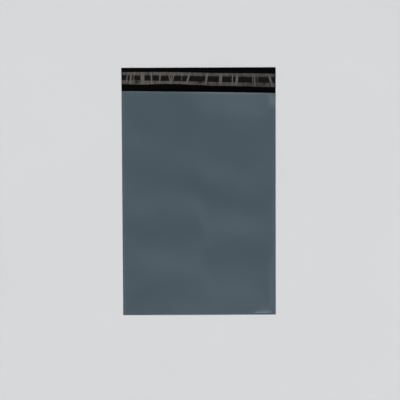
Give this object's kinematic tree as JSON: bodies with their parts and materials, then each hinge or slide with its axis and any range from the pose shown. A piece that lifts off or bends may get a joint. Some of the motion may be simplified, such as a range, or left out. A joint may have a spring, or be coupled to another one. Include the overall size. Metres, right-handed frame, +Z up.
{
  "type": "poly mailer",
  "caption": "Lightweight film shipping bag with a side-welded pocket, an open mouth and a peel-and-seal flap that lies open.",
  "frame": {"origin": "centre of the bag's footprint, on the flat underside of the back panel", "axes": "+X to the right across the bag seen from above, +Y from the bottom fold towards the flap, +Z up out of the front panel"},
  "size_m": [0.33, 0.5326, 0.0125],
  "materials": {
    "grey_film": "satin grey co-extruded polyethylene film, black on its inner side",
    "hot_melt_glue": "glossy tacky hot-melt glue, dark over the black film",
    "liner_film": "hazy translucent silicone-coated release film"
  },
  "bodies": {
    "root": {"mailer_bag": "grey_film", "adhesive_strip": "hot_melt_glue", "release_liner": "liner_film"}
  },
  "joints": []
}
